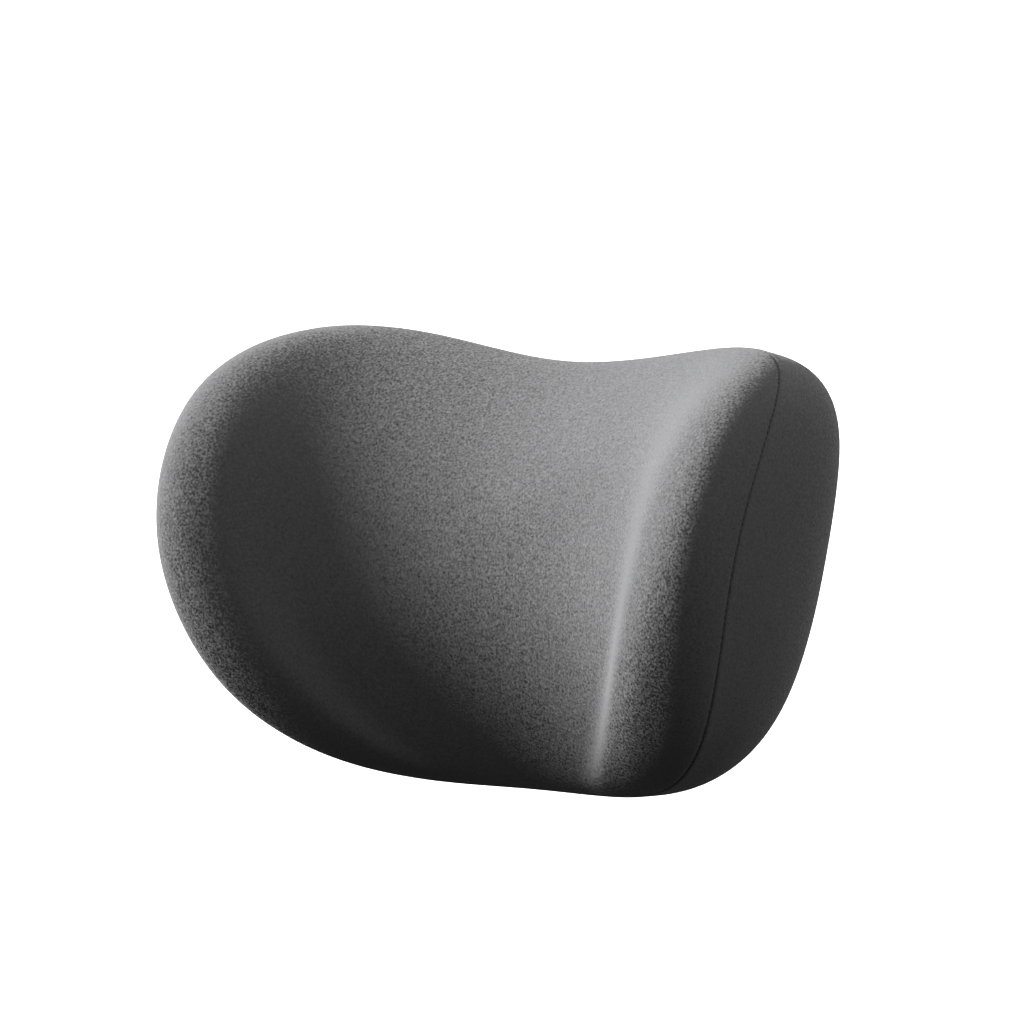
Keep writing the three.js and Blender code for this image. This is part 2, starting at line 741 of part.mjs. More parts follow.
function latchSpring() {
  const length = LATCH_POCKET + PLATE_LEFT - 2 * GAP - 2 * SPRING.wire;
  const wire = new THREE.Shape().absarc(0, 0, SPRING.wire, 0, 2 * Math.PI);
  const geometry = new THREE.ExtrudeGeometry(wire, {
    extrudePath: new Helix(SPRING.radius, length, SPRING.turns),
    steps: 12 * SPRING.turns,
    curveSegments: 3,
  });
  return at(geometry, GAP + SPRING.wire - LATCH_POCKET, STEM.y, LATCH.z);
}

// ---------------------------------------------------------------------------------------
// Fixed pieces
// ---------------------------------------------------------------------------------------

function housingScrewPlaces() {
  const { x, low, high } = HOUSING_SCREW;
  return [[-x, low], [x, low], [-x, high], [x, high]];
}

function housingScrewHoles(radius, from, to) {
  return housingScrewPlaces().map(([x, z]) => at(rod(radius, from, to), x, 0, z));
}

function housingShape() {
  const middle = (HOUSING.top + HOUSING.bottom) / 2;
  return roundedRectangle(
    HOUSING.width, HOUSING.top - HOUSING.bottom, HOUSING.corner, 0, middle,
  );
}

// A cross-shaped plate: the housing stands on it, and its ears take the two bolts.
function mountPlate() {
  const middle = slab(roundedRectangle(PLATE.width, PLATE.height, PLATE.corner), 0, -PLATE.thickness);
  const ears = slab(
    roundedRectangle(EAR.width, EAR.height, EAR.corner, 0, EAR.z), 0, -PLATE.thickness,
  );
  const slotEnd = SLOT.width / 2 - 0.01; // just short of a half circle, which has no top edge
  const slots = [-SLOT.x, SLOT.x].map((x) => slab(
    roundedRectangle(SLOT.width, SLOT.height, slotEnd, x, EAR.z),
    1,
    -PLATE.thickness - 1,
  ));
  const screwHoles = housingScrewHoles(HOUSING_SCREW.shank + GAP, -PLATE.thickness - 1, 1);
  return cut(join(middle, [ears]), [...slots, ...screwHoles]);
}

// Channel that the liners and stem stand in, closed in front by the housing cover.
function housingBody() {
  const open = CAVITY_FRONT - 1;
  const floor = HOUSING.bottom + HOUSING.lip;
  const channel = box(
    [-CAVITY_HALF_WIDTH, CAVITY_HALF_WIDTH],
    [open, CAVITY_REAR],
    [floor, HOUSING.top + 1],
  );
  const stemWay = box(
    [-STEM_HALF - 2 * GAP, STEM_HALF + 2 * GAP],
    [open, STEM_REAR + 2 * GAP],
    [HOUSING.bottom - 1, HOUSING.top],
  );
  const stopWay = box(
    [-STOP_SCREW.head - 2 * GAP, STOP_SCREW.head + 2 * GAP],
    [STEM.y, CAVITY_REAR],
    [HOUSING.bottom - 1, floor + 1],
  );
  const halfPlate = LATCH.thickness / 2 + GAP;
  const plateWay = box(
    [-LATCH_POCKET, LATCH_POCKET],
    [open, CAVITY_REAR],
    [LATCH.z - halfPlate, LATCH.z + halfPlate],
  );
  const springSide = SPRING.radius + SPRING.wire + GAP;
  const springWay = box(
    [-LATCH_POCKET, -STEM_HALF],
    [STEM.y - springSide, STEM.y + springSide],
    [LATCH.z - springSide, LATCH.z + springSide],
  );
  const lipReach = BUTTON.lip + GAP;
  const flangeWay = box(
    [BUTTON_INNER - LATCH.travel - GAP, LATCH_POCKET],
    [STEM.y - BUTTON.depth / 2 - lipReach, STEM.y + BUTTON.depth / 2 + lipReach],
    [LATCH.z - BUTTON.height / 2 - lipReach, LATCH.z + BUTTON.height / 2 + lipReach],
  );
  const buttonWay = box(
    [LATCH_POCKET - 1, HOUSING.width / 2 + 1],
    [STEM.y - BUTTON.depth / 2 - GAP, STEM.y + BUTTON.depth / 2 + GAP],
    [LATCH.z - BUTTON.height / 2 - GAP, LATCH.z + BUTTON.height / 2 + GAP],
  );
  const screwHoles = housingScrewHoles(HOUSING_SCREW.shank + GAP, open, HOUSING_REAR + 1);
  const hollowed = cut(
    slab(housingShape(), HOUSING_REAR, HOUSING_FRONT),
    [channel, stemWay, stopWay, plateWay, springWay, flangeWay, buttonWay, ...screwHoles],
  );
  return join(hollowed, [stopRib()]);
}

// Under the latch plate, in the way of the stop screw's head.
function stopRib() {
  const { halfWidth, height } = STOP_RIB;
  const top = LATCH.z - LATCH.thickness / 2 - GAP;
  const depth = [STEM_REAR + 2 * GAP, CAVITY_REAR + 1];
  return box([-halfWidth, halfWidth], depth, [top - height, top]);
}

// Front lid with a bevelled rim and sunk screw holes.
function housingCover() {
  const { thickness, bevel } = HOUSING_COVER;
  const geometry = new THREE.ExtrudeGeometry(housingShape(), {
    depth: thickness - bevel,
    bevelEnabled: true,
    bevelThickness: bevel,
    bevelSize: bevel,
    bevelOffset: -bevel,
    bevelSegments: 2,
    curveSegments: 3,
  });
  geometry.rotateX(Math.PI / 2);
  at(geometry, 0, COVER_REAR, 0);
  const rearBevel = box(
    [-HOUSING.width, HOUSING.width],
    [COVER_REAR, COVER_REAR + BEYOND],
    [-HOUSING.width, HOUSING.width],
  );
  const holes = housingScrewHoles(HOUSING_SCREW.shank + GAP, COVER_FRONT - 1, COVER_REAR + 1);
  const sinkEnd = COVER_FRONT + HOUSING_SCREW.headHeight + 2 * GAP;
  const sinks = housingScrewHoles(HOUSING_SCREW.head + GAP, COVER_FRONT - 1, sinkEnd);
  return cut(geometry, [rearBevel, ...holes, ...sinks]);
}

// It stops just short of the mounting plate's rear face.
function housingScrew(x, z) {
  const short = 0.8;
  const seat = COVER_FRONT + HOUSING_SCREW.headHeight + GAP;
  return at(screw({ ...HOUSING_SCREW, length: -seat - short }), x, seat, z);
}

// Channel-shaped liner round one edge of the stem.
function guideLiner(side) {
  const low = HOUSING.bottom + HOUSING.lip + GAP;
  const high = LATCH.z - LATCH.thickness / 2 - 2 * GAP - STOP_RIB.height;
  const outer = STEM_HALF + GAP + LINER.wall;
  const whole = box(
    [STEM_HALF - LINER.reach, outer],
    [CAVITY_FRONT + GAP, CAVITY_REAR - GAP],
    [low, high],
  );
  const way = box(
    [0, STEM_HALF + GAP],
    [STEM_FRONT - GAP, STEM_REAR + GAP],
    [low - 1, high + 1],
  );
  const liner = cut(whole, [way]);
  return side > 0 ? liner : liner.rotateZ(Math.PI).translate(0, 2 * STEM.y, 0);
}

// Collar that steadies the stem where it leaves the housing. It ends as far above the
// latch plate as the stop rib reaches below it.
function topCollar() {
  const outerHalf = STEM_HALF + GAP + LINER.wall;
  const low = LATCH.z + LATCH.thickness / 2 + 2 * GAP + STOP_RIB.height;
  const flangeLow = HOUSING.top + GAP;
  const flangeHigh = flangeLow + COLLAR.flange;
  const plug = box(
    [-outerHalf, outerHalf],
    [CAVITY_FRONT + GAP, CAVITY_REAR - GAP],
    [low, flangeHigh],
  );
  const flange = box(
    [-outerHalf - COLLAR.sideReach, outerHalf + COLLAR.sideReach],
    [CAVITY_FRONT - COLLAR.faceReach, CAVITY_REAR + COLLAR.faceReach],
    [flangeLow, flangeHigh],
  );
  const way = box(
    [-STEM_HALF - GAP, STEM_HALF + GAP],
    [STEM_FRONT - GAP, STEM_REAR + GAP],
    [low - 1, flangeHigh + 1],
  );
  return cut(join(plug, [flange]), [way]);
}

// ---------------------------------------------------------------------------------------
// Assembly
// ---------------------------------------------------------------------------------------

function piece(name, geometry, look) {
  const mesh = new THREE.Mesh(geometry, look);
  mesh.name = name;
  return mesh;
}

// The pad hangs on the hinge axis, leaning back.
function padAssembly() {
  const pad = new THREE.Group();
  const { y, z } = HINGE_IN_PAD;
  const lean = new THREE.Vector3(0, y, z).applyAxisAngle(new THREE.Vector3(1, 0, 0), -PAD_LEAN);
  pad.position.set(0, HINGE.y - lean.y, HINGE.z - lean.z);
  pad.rotation.x = -PAD_LEAN;
  pad.add(
    piece('front_cover', frontCover(), FABRIC),
    piece('rear_cover', rearCover(), FABRIC),
    piece('foam_core', foamCore(), FOAM),
    piece('insert_board', insertBoard(), PLYWOOD),
    piece('hinge_dish', hingeDish(), BLACK_NYLON),
    piece('hinge_bracket', hingeBracket(), BLACK_STEEL),
    piece('hinge_bolt', hingeBolt(), ZINC_STEEL),
    piece('hinge_nut', hingeNut(), ZINC_STEEL),
  );
  [0, 1].forEach((k) => pad.add(piece(`disc_spring_${k + 1}`, discSpring(k), ZINC_STEEL)));
  const nutSeat = BOARD.rear - BOARD.thickness - GAP;
  const screwSeat = BRACKET_REAR + GAP;
  bracketScrewPlaces().forEach(([x, z2], k) => {
    const nut = at(teeNut(), x, nutSeat, z2);
    const bolt = at(screw(BRACKET_SCREW).rotateX(Math.PI), x, screwSeat, z2);
    pad.add(piece(`tee_nut_${k + 1}`, nut, ZINC_STEEL));
    pad.add(piece(`bracket_screw_${k + 1}`, bolt, ZINC_STEEL));
  });
  return pad;
}

function slidingAssembly() {
  const carriage = new THREE.Group();
  carriage.add(
    piece('neck', neck(), CAST_ALUMINIUM),
    piece('hinge_bush_left', hingeBush(-1), ACETAL),
    piece('hinge_bush_right', hingeBush(1), ACETAL),
    piece('stem', stem(), BLACK_STEEL),
    piece('stem_end_cap', stemEndCap(), BLACK_NYLON),
    piece('stop_screw', stopScrew(), ZINC_STEEL),
  );
  neckScrewHeights().forEach((z, k) => {
    carriage.add(piece(`neck_screw_${k + 1}`, neckScrew(z), ZINC_STEEL));
  });
  return carriage;
}

function fixedAssembly() {
  const base = new THREE.Group();
  base.add(
    piece('mount_plate', mountPlate(), BLACK_STEEL),
    piece('housing_body', housingBody(), BLACK_NYLON),
    piece('housing_cover', housingCover(), BLACK_NYLON),
    piece('guide_liner_left', guideLiner(-1), ACETAL),
    piece('guide_liner_right', guideLiner(1), ACETAL),
    piece('top_collar', topCollar(), BLACK_NYLON),
    piece('latch_spring', latchSpring(), ZINC_STEEL),
  );
  housingScrewPlaces().forEach(([x, z], k) => {
    base.add(piece(`housing_screw_${k + 1}`, housingScrew(x, z), ZINC_STEEL));
  });
  return base;
}

function latchAssembly() {
  const latch = new THREE.Group();
  latch.add(
    piece('latch_plate', latchPlate(), ZINC_STEEL),
    piece('release_button', releaseButton(), BLACK_NYLON),
  );
  return latch;
}

const headrest = new THREE.Group();
headrest.add(padAssembly(), slidingAssembly(), latchAssembly(), fixedAssembly());

export default headrest;
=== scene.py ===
"""Looks of the chair headrest attachment: upholstery, seam, materials, studio.

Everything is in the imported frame: metres, +Z up, -Y towards the sitter's head, the origin on
the mounting plate's rear face. The pad's skin is worked out in millimetres in the pad's own
frame, as the CAD source does, and then placed on the tilt hinge.
"""

import json
import math

import bpy
import numpy as np
from mathutils import Matrix, Vector


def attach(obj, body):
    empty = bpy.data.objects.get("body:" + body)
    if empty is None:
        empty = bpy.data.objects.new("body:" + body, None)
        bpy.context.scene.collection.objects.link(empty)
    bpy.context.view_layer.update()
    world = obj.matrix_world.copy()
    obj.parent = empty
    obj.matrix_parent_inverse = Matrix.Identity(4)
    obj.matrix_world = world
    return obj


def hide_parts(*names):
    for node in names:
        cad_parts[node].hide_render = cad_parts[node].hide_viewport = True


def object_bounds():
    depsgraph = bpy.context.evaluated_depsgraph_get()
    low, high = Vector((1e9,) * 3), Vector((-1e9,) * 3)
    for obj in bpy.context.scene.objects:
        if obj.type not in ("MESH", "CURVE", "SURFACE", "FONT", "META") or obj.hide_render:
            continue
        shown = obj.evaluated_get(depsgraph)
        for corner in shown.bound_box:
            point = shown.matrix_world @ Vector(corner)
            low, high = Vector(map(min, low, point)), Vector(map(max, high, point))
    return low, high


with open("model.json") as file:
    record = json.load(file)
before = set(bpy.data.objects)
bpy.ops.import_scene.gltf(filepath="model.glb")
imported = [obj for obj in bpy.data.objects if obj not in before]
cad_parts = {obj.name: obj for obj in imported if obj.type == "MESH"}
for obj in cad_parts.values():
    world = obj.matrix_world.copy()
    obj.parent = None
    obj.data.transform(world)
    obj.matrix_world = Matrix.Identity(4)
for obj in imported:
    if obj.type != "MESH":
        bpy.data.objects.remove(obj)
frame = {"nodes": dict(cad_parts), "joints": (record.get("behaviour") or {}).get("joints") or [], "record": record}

cad_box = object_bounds()

MM = 0.001
TINY = 1e-9
FRONT = -1
REAR = 1
SIDES = (FRONT, REAR)
AT_SEAM = math.pi / 2  # the spread at the seam, where a panel's middle has 0

# ---------------------------------------------------------------------------------------
# Driving dimensions of the pad, lengths in millimetres. They are the CAD source's, apart from
# the ridge's middle line and its two slopes: the sewn cover has a tighter ridge than the solid.
# ---------------------------------------------------------------------------------------

HALF_WIDTH = 150
HALF_HEIGHT = 108.6
SQUARENESS = 3.31
LOBES = {"three": 0.018, "five": -0.008, "six": 0.009}
TOP_FLARE = 0.065
TOP_DIP = 25.6
BOTTOM_RISE = 9.1
DIP_SPREAD = 0.83
DIP_POWER = 1.5
WING_SWEEP = 70.4
WING_SWEEP_POWER = 3.34
ACROSS_FLOOR = 0.01  # rounds off the distance across at the middle
FRONT_DEPTH = 53.6
FRONT_DEPTH_AT_TIP = 51.7
FRONT_ROUNDNESS = 1.81
REAR_DEPTH = 45
REAR_DEPTH_AT_TIP = 45
REAR_FLAT = 43
REAR_FLAT_BLEND = 1.5
REAR_ROUNDNESS = 2.5
REAR_ROUNDNESS_AT_TIP = 1.04

# Polynomials in the height above the pad's middle, lowest power first.
SEAM_BOW = (0, 5.3, 16.2, 10.7, -20.6)
FRONT_SWELL = (0, -4.5, -17.3)
CREST_HEIGHT = (16.8, 4.9, 3)
CREST_MIDDLE = (0.774, 0.109, -0.11, 0.165)
CREST_WIDTH = (0.169, 0.101, 0.098)
CREST_SQUARENESS = (2.46, -0.33)
CREST_NARROWEST = 0.05
CREST_OUTER_SHARE = 1.26
CREST_INNER_SHARE = 0.68
CREST_BLUNT = 0.01

PAD_LEAN = math.radians(9.5)
HINGE_BEHIND_FLAT = 5
HINGE_HEIGHT = 14
HINGE_IN_PAD = Vector((0, REAR_FLAT + HINGE_BEHIND_FLAT, HINGE_HEIGHT))

# The dish's rim on the rear cover, and the opening under it.
RIM_WIDTH = 100
RIM_HEIGHT = 80
RIM_CORNER = 22
RIM_INSET = 6
RIM_SEAT = REAR_FLAT + 0.15
RIM_HELD = 2  # the cover is clamped as far out from the rim as this
RIM_EASE = 8  # and the room for its swelling eases in over this distance
RIM_CLEAR = 0.4
RIM_SLOPE = 0.4  # beyond the clearance, how steeply the cover may rise from its seat
PUFF = 0.9  # how far the cover puffs up outside the rim
PUFF_AT = 8
PUFF_WIDTH = 5

# Outward directions of the skin, measured with these spreads.
NORMAL_STEP = 0.02
NORMAL_START = 0.06  # nearer the middle than this, the direction is taken here
SEAM_BLEND = 0.02  # the two sides' directions blend this near the seam

# Upholstery. A panel's grid runs from -1 to 1 both ways, and the steps are in that measure.
CLOTH_CELLS = 60
CLOTH_FRAMES = 20
SWELL_ROOM = 0.4  # the pad swells, so the simulated cover starts this much smaller
SWELL_CAP = 1.0
ROOM_EASE = 0.12  # share of the way from the seam to the middle over which it eases in
FINE_STEP = 0.0135
SEAM_STEP = 0.0012
SEAM_GROWTH = 1.45
SEAM_DEPTH = 1.5
SEAM_WIDTH = 0.4
SEAM_ROLL = 0.12
SEAM_ROLL_AT = 2.4
SEAM_ROLL_WIDTH = 1.3
PANEL_GAP = 0.04  # each panel is moved this far from the other
SEAM_SAMPLES = 4001
COVER_THICKNESS = 1.4
STITCH_PITCH = 3.0
STITCH_LENGTH = 2.1
STITCH_RADIUS = 0.2
STITCH_SIDES = 8
STITCH_STATIONS = (-0.5, -0.44, -0.3, 0, 0.3, 0.44, 0.5)  # in shares of its length
STITCH_TIP = 0.52
STITCH_TIP_POWER = 6
STITCH_ARCH = 0.16
STITCH_DEPTH = 0.55


# ---------------------------------------------------------------------------------------
# Pad skin
# ---------------------------------------------------------------------------------------

def polynomial(terms, x):
    return sum(term * x**power for power, term in enumerate(terms))


def bell(x, middle, width):
    return np.exp(-(((x - middle) / width) ** 2))


def outline(angle):
    """The outline's direction at an angle, about 1 long at the middle of each side."""
    across, up = np.cos(angle), np.sin(angle)
    square = (np.abs(across) ** SQUARENESS + np.abs(up) ** SQUARENESS) ** (-1 / SQUARENESS)
    wave = (
        LOBES["three"] * np.sin(3 * angle)
        + LOBES["five"] * np.sin(5 * angle)
        + LOBES["six"] * np.cos(6 * angle)
    )
    reach = square * (1 + wave)
    return reach * across, reach * up


def crest(across, up):
    """The ridge down each wing, which leans outward as it rises and is widest at the top."""
    width = np.maximum(polynomial(CREST_WIDTH, up), CREST_NARROWEST)
    from_middle = (across - polynomial(CREST_MIDDLE, up)) / width
    share = np.where(from_middle > 0, CREST_OUTER_SHARE, CREST_INNER_SHARE)
    slope = from_middle / share
    power = polynomial(CREST_SQUARENESS, up) / 2
    return polynomial(CREST_HEIGHT, up) * np.exp(-((slope**2 + CREST_BLUNT) ** power))


def front_depth(across, up):
    plain = FRONT_DEPTH + FRONT_DEPTH_AT_TIP * across**2
    return plain + crest(across, up) + polynomial(FRONT_SWELL, up)


def flatten_rear(y):
    """Eases the rear skin off at the flat that the hinge sits against."""
    over = (y - REAR_FLAT) / REAR_FLAT_BLEND
    return y - REAR_FLAT_BLEND * np.log1p(np.exp(over))


def skin(side, angle, spread):
    """Points of one side. spread runs from 0 in the side's middle to AT_SEAM."""
    rear_power = REAR_ROUNDNESS + REAR_ROUNDNESS_AT_TIP * np.cos(angle) ** 2
    power = FRONT_ROUNDNESS if side == FRONT else rear_power
    sine, cosine = np.sin(spread), np.maximum(np.cos(spread), 0)
    reach = (sine**power + cosine**power) ** (-1 / power)
    out_x, out_z = outline(angle)
    px, pz = reach * sine * out_x, reach * sine * out_z
    across = np.hypot(px, ACROSS_FLOOR)
    middle_share = bell(px, 0, DIP_SPREAD)
    dip = TOP_DIP * np.maximum(pz, 0) ** DIP_POWER
    rise = BOTTOM_RISE * np.maximum(-pz, 0) ** DIP_POWER
    bow = across**2 * polynomial(SEAM_BOW, pz)
    seam_y = bow - WING_SWEEP * across**WING_SWEEP_POWER
    rear_depth = REAR_DEPTH + REAR_DEPTH_AT_TIP * across**2
    depth = front_depth(across, pz) if side == FRONT else rear_depth
    y = seam_y + side * depth * reach * cosine
    if side == REAR:
        y = flatten_rear(y)
    x = HALF_WIDTH * px * (1 + TOP_FLARE * pz)
    z = HALF_HEIGHT * pz + middle_share * (rise - dip)
    return np.stack(np.broadcast_arrays(x, y, z), -1)


def unit(vectors):
    return vectors / np.linalg.norm(vectors, axis=-1, keepdims=True)


def skin_normal(side, angle, spread):
    """Outward directions. Both sides share one direction at the seam."""
    def one(which):
        middle = np.clip(spread, NORMAL_START, None)
        inner = skin(which, angle, middle - NORMAL_STEP)
        outer = skin(which, angle, np.minimum(middle + NORMAL_STEP, AT_SEAM))
        before = skin(which, angle - NORMAL_STEP, middle)
        after = skin(which, angle + NORMAL_STEP, middle)
        return unit(-which * np.cross(outer - inner, after - before))

    near_seam = bell(spread, AT_SEAM, SEAM_BLEND)[..., None]
    return unit(one(side) + near_seam * one(-side))


def square_to_disc(lines):
    """Angles and spreads of a square grid of lines from -1 to 1, bent into a disc."""
    u, v = np.meshgrid(lines, lines, indexing="ij")
    x = u * np.sqrt(1 - v**2 / 2)
    z = v * np.sqrt(1 - u**2 / 2)
    return np.arctan2(z, x), np.minimum(np.hypot(x, z), 1) * AT_SEAM


def grid_quads(ids, side):
    """Faces of a grid of vertex numbers, turned to look outward on their side."""
    a, b, c, d = ids[:-1, :-1], ids[1:, :-1], ids[1:, 1:], ids[:-1, 1:]
    order = (a, b, c, d) if side == FRONT else (a, d, c, b)
    return np.stack(order, -1).reshape(-1, 4)


def rim_distance(points):
    """Distance outside the dish's rim, in the plane of the pad's back, negative within."""
    qx = np.abs(points[..., 0]) - RIM_WIDTH / 2 + RIM_CORNER
    qz = np.abs(points[..., 2] - HINGE_IN_PAD.z) - RIM_HEIGHT / 2 + RIM_CORNER
    outside = np.hypot(np.maximum(qx, 0), np.maximum(qz, 0))
    return outside + np.minimum(np.maximum(qx, qz), 0) - RIM_CORNER


# ---------------------------------------------------------------------------------------
# Cloth simulation of the cover
# ---------------------------------------------------------------------------------------

def make_mesh(name, vertices, faces):
    mesh = bpy.data.meshes.new(name)
    mesh.from_pydata([tuple(v) for v in vertices], [], [tuple(f) for f in faces])
    mesh.update()
    piece = bpy.data.objects.new(name, mesh)
    bpy.context.scene.collection.objects.link(piece)
    return piece


def smooth(x):
    """Eases from 0 to 1."""
    t = np.clip(x, 0, 1)
    return t * t * (3 - 2 * t)


def pulled_in(side, angle, spread, design):
    """The panel before it swells: smaller, except at the seam and under the dish's rim."""
    to_seam = (1 - spread / AT_SEAM)[..., None]
    room = SWELL_ROOM * smooth(to_seam / ROOM_EASE)
    under_rim = smooth(1 - rim_distance(design) / RIM_EASE)[..., None] * (side == REAR)
    return design - skin_normal(side, angle, spread) * room * (1 - under_rim)


def sewn_ids(shape):
    """Vertex numbers of both panels' grids, which share their borders.

    Also gives which points of the two grids, one after the other, are used, and the border.
    """
    front = np.arange(shape[0] * shape[1]).reshape(shape)
    rear = front + front.size
    border = np.ones(shape, bool)
    border[1:-1, 1:-1] = False
    rear[border] = front[border]
    used, packed = np.unique(np.concatenate([front.ravel(), rear.ravel()]), return_inverse=True)
    ids = {
        FRONT: packed[:front.size].reshape(shape),
        REAR: packed[front.size:].reshape(shape),
    }
    return ids, used, border


def swell():
    """How far pressure moves the sewn cover from its design shape, as one grid a side."""
    lines = np.linspace(-1, 1, CLOTH_CELLS + 1)
    angle, spread = square_to_disc(lines)
    design = {side: skin(side, angle, spread) for side in SIDES}
    start = {side: pulled_in(side, angle, spread, design[side]) for side in SIDES}
    ids, used, border = sewn_ids(angle.shape)
    places = np.concatenate([start[side].reshape(-1, 3) for side in SIDES])[used]
    faces = np.concatenate([grid_quads(ids[side], side) for side in SIDES])
    cloth = make_mesh("cloth_work", places * MM, faces)
    clamped = rim_distance(start[REAR]) < RIM_HELD
    held = np.unique(np.concatenate([ids[FRONT][border], ids[REAR][clamped]]))
    cloth.vertex_groups.new(name="held").add(held.tolist(), 1.0, "REPLACE")
    moved = run_cloth(cloth) / MM
    displacement = {}
    for side in SIDES:
        shift = (moved - places)[ids[side]]
        length = np.linalg.norm(shift, axis=-1, keepdims=True)
        shift *= np.minimum(1, SWELL_CAP / np.maximum(length, TINY))
        displacement[side] = shift + start[side] - design[side]
    return lines, displacement


def run_cloth(cloth):
    """Runs Cloth under pressure. Returns the vertices' places and removes the object."""
    modifier = cloth.modifiers.new("cloth", "CLOTH")
    settings = modifier.settings
    settings.quality = 6
    settings.mass = 0.3
    settings.tension_stiffness = 30
    settings.compression_stiffness = 30
    settings.shear_stiffness = 12
    settings.bending_stiffness = 3
    settings.use_pressure = True
    settings.uniform_pressure_force = 5
    settings.effector_weights.gravity = 0
    settings.vertex_group_mass = "held"
    modifier.point_cache.frame_start = 1
    modifier.point_cache.frame_end = CLOTH_FRAMES
    scene = bpy.context.scene
    for number in range(1, CLOTH_FRAMES + 1):
        scene.frame_set(number)
    evaluated = cloth.evaluated_get(bpy.context.evaluated_depsgraph_get())
    places = np.zeros(len(evaluated.data.vertices) * 3)
    evaluated.data.vertices.foreach_get("co", places)
    bpy.data.objects.remove(cloth)
    scene.frame_set(1)
    return places.reshape(-1, 3)


def cubic_weights(coarse, fine):
    """Catmull-Rom weights that carry values on the coarse lines to the fine lines."""
    step = coarse[1] - coarse[0]
    cell = np.clip(((fine - coarse[0]) / step).astype(int), 0, len(coarse) - 2)
    t = (fine - coarse[cell]) / step
    shares = (
        -0.5 * t + t**2 - 0.5 * t**3,
        1 - 2.5 * t**2 + 1.5 * t**3,
        0.5 * t + 2 * t**2 - 1.5 * t**3,
        -0.5 * t**2 + 0.5 * t**3,
    )
    weights = np.zeros((len(fine), len(coarse)))
    rows = np.arange(len(fine))
    for offset, share in zip((-1, 0, 1, 2), shares):
        np.add.at(weights, (rows, np.clip(cell + offset, 0, len(coarse) - 1)), share)
    return weights


# ---------------------------------------------------------------------------------------
# Finished cover panels
# ---------------------------------------------------------------------------------------

def fine_lines():
    """Grid lines from -1 to 1, packed closer and closer towards the seam at both ends."""
    offsets = [0.0]
    step = SEAM_STEP
    while step < FINE_STEP:
        offsets.append(offsets[-1] + step)
        step *= SEAM_GROWTH
    inner = 1 - offsets[-1]
    even = np.linspace(-inner, inner, round(2 * inner / FINE_STEP) + 1)
    ends = 1 - np.array(offsets[:-1])
    return np.concatenate([-ends, even, ends[::-1]])


def tuck_under_rim(points):
    """Holds the rear cover under the dish's rim and lets it puff up just outside."""
    distance = rim_distance(points)
    limit = RIM_SEAT + RIM_SLOPE * np.maximum(distance - RIM_CLEAR, 0)
    puff = PUFF * bell(distance, PUFF_AT, PUFF_WIDTH) * (distance > 0)
    points[..., 1] = np.minimum(points[..., 1] + puff, limit)


def panel_points(side, lines, coarse, displacement):
    """One panel's outer face: the swollen skin, rolled in towards the seam's groove."""
    angle, spread = square_to_disc(lines)
    points = skin(side, angle, spread)
    seam = skin(side, angle, np.full_like(spread, AT_SEAM))
    from_seam = np.linalg.norm(points - seam, axis=-1)
    weights = cubic_weights(coarse, lines)
    points = points + np.einsum("ai,bj,ijk->abk", weights, weights, displacement)
    if side == REAR:
        tuck_under_rim(points)
    groove = SEAM_DEPTH * bell(from_seam, 0, SEAM_WIDTH)
    roll = SEAM_ROLL * bell(from_seam, SEAM_ROLL_AT, SEAM_ROLL_WIDTH)
    points -= skin_normal(side, angle, spread) * (groove - roll)[..., None]
    points[..., 1] += side * PANEL_GAP
    return points


def pad_matrix():
    """From the pad's own frame to the row frame, both in metres."""
    hinge = next(Vector(j["pos_m"]) for j in frame["joints"] if j["name"] == "tilt")
    lean = Matrix.Rotation(-PAD_LEAN, 4, "X")
    return Matrix.Translation(hinge) @ lean @ Matrix.Translation(-HINGE_IN_PAD * MM)


def place_pad_points(points):
    """Carries points from the pad's own millimetres to the row frame's metres."""
    matrix = np.array(pad_matrix())
    return points.reshape(-1, 3) * MM @ matrix[:3, :3].T + matrix[:3, 3]


def cover_panel(name, side, lines, coarse, displacement, node):
    """One sewn panel, which takes the place of its plain CAD node."""
    points = panel_points(side, lines, coarse, displacement)
    ids = np.arange(len(lines) ** 2).reshape(len(lines), -1)
    faces = grid_quads(ids, side)
    if side == REAR:
        centres = points.reshape(-1, 3)[faces].mean(1)
        faces = faces[rim_distance(centres) > -RIM_INSET]
    used, packed = np.unique(faces, return_inverse=True)
    piece = make_mesh(name, place_pad_points(points)[used], packed.reshape(-1, 4))
    piece.data.shade_smooth()
    solid = piece.modifiers.new("thickness", "SOLIDIFY")
    solid.thickness = COVER_THICKNESS * MM
    solid.offset = -1
    piece.data.materials.append(cover_fabric())
    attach(piece, "pad")
    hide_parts(node)


def seam_run():
    """Angles around the seam, and the length that has run so far at each."""
    angle = np.linspace(0, 2 * math.pi, SEAM_SAMPLES)
    path = skin(FRONT, angle, np.full_like(angle, AT_SEAM))
    steps = np.linalg.norm(np.diff(path, axis=0), axis=1)
    return angle, np.concatenate([[0], np.cumsum(steps)])


def tube_faces(first, stations, sides):
    """Faces of one closed tube, whose rings of vertices begin at the number first."""
    faces = []
    for ring in range(stations - 1):
        a = first + ring * sides
        for i in range(sides):
            j = (i + 1) % sides
            faces.append((a + i, a + j, a + sides + j, a + sides + i))
    last = first + (stations - 1) * sides
    faces.append(tuple(first + i for i in reversed(range(sides))))
    faces.append(tuple(last + i for i in range(sides)))
    return faces


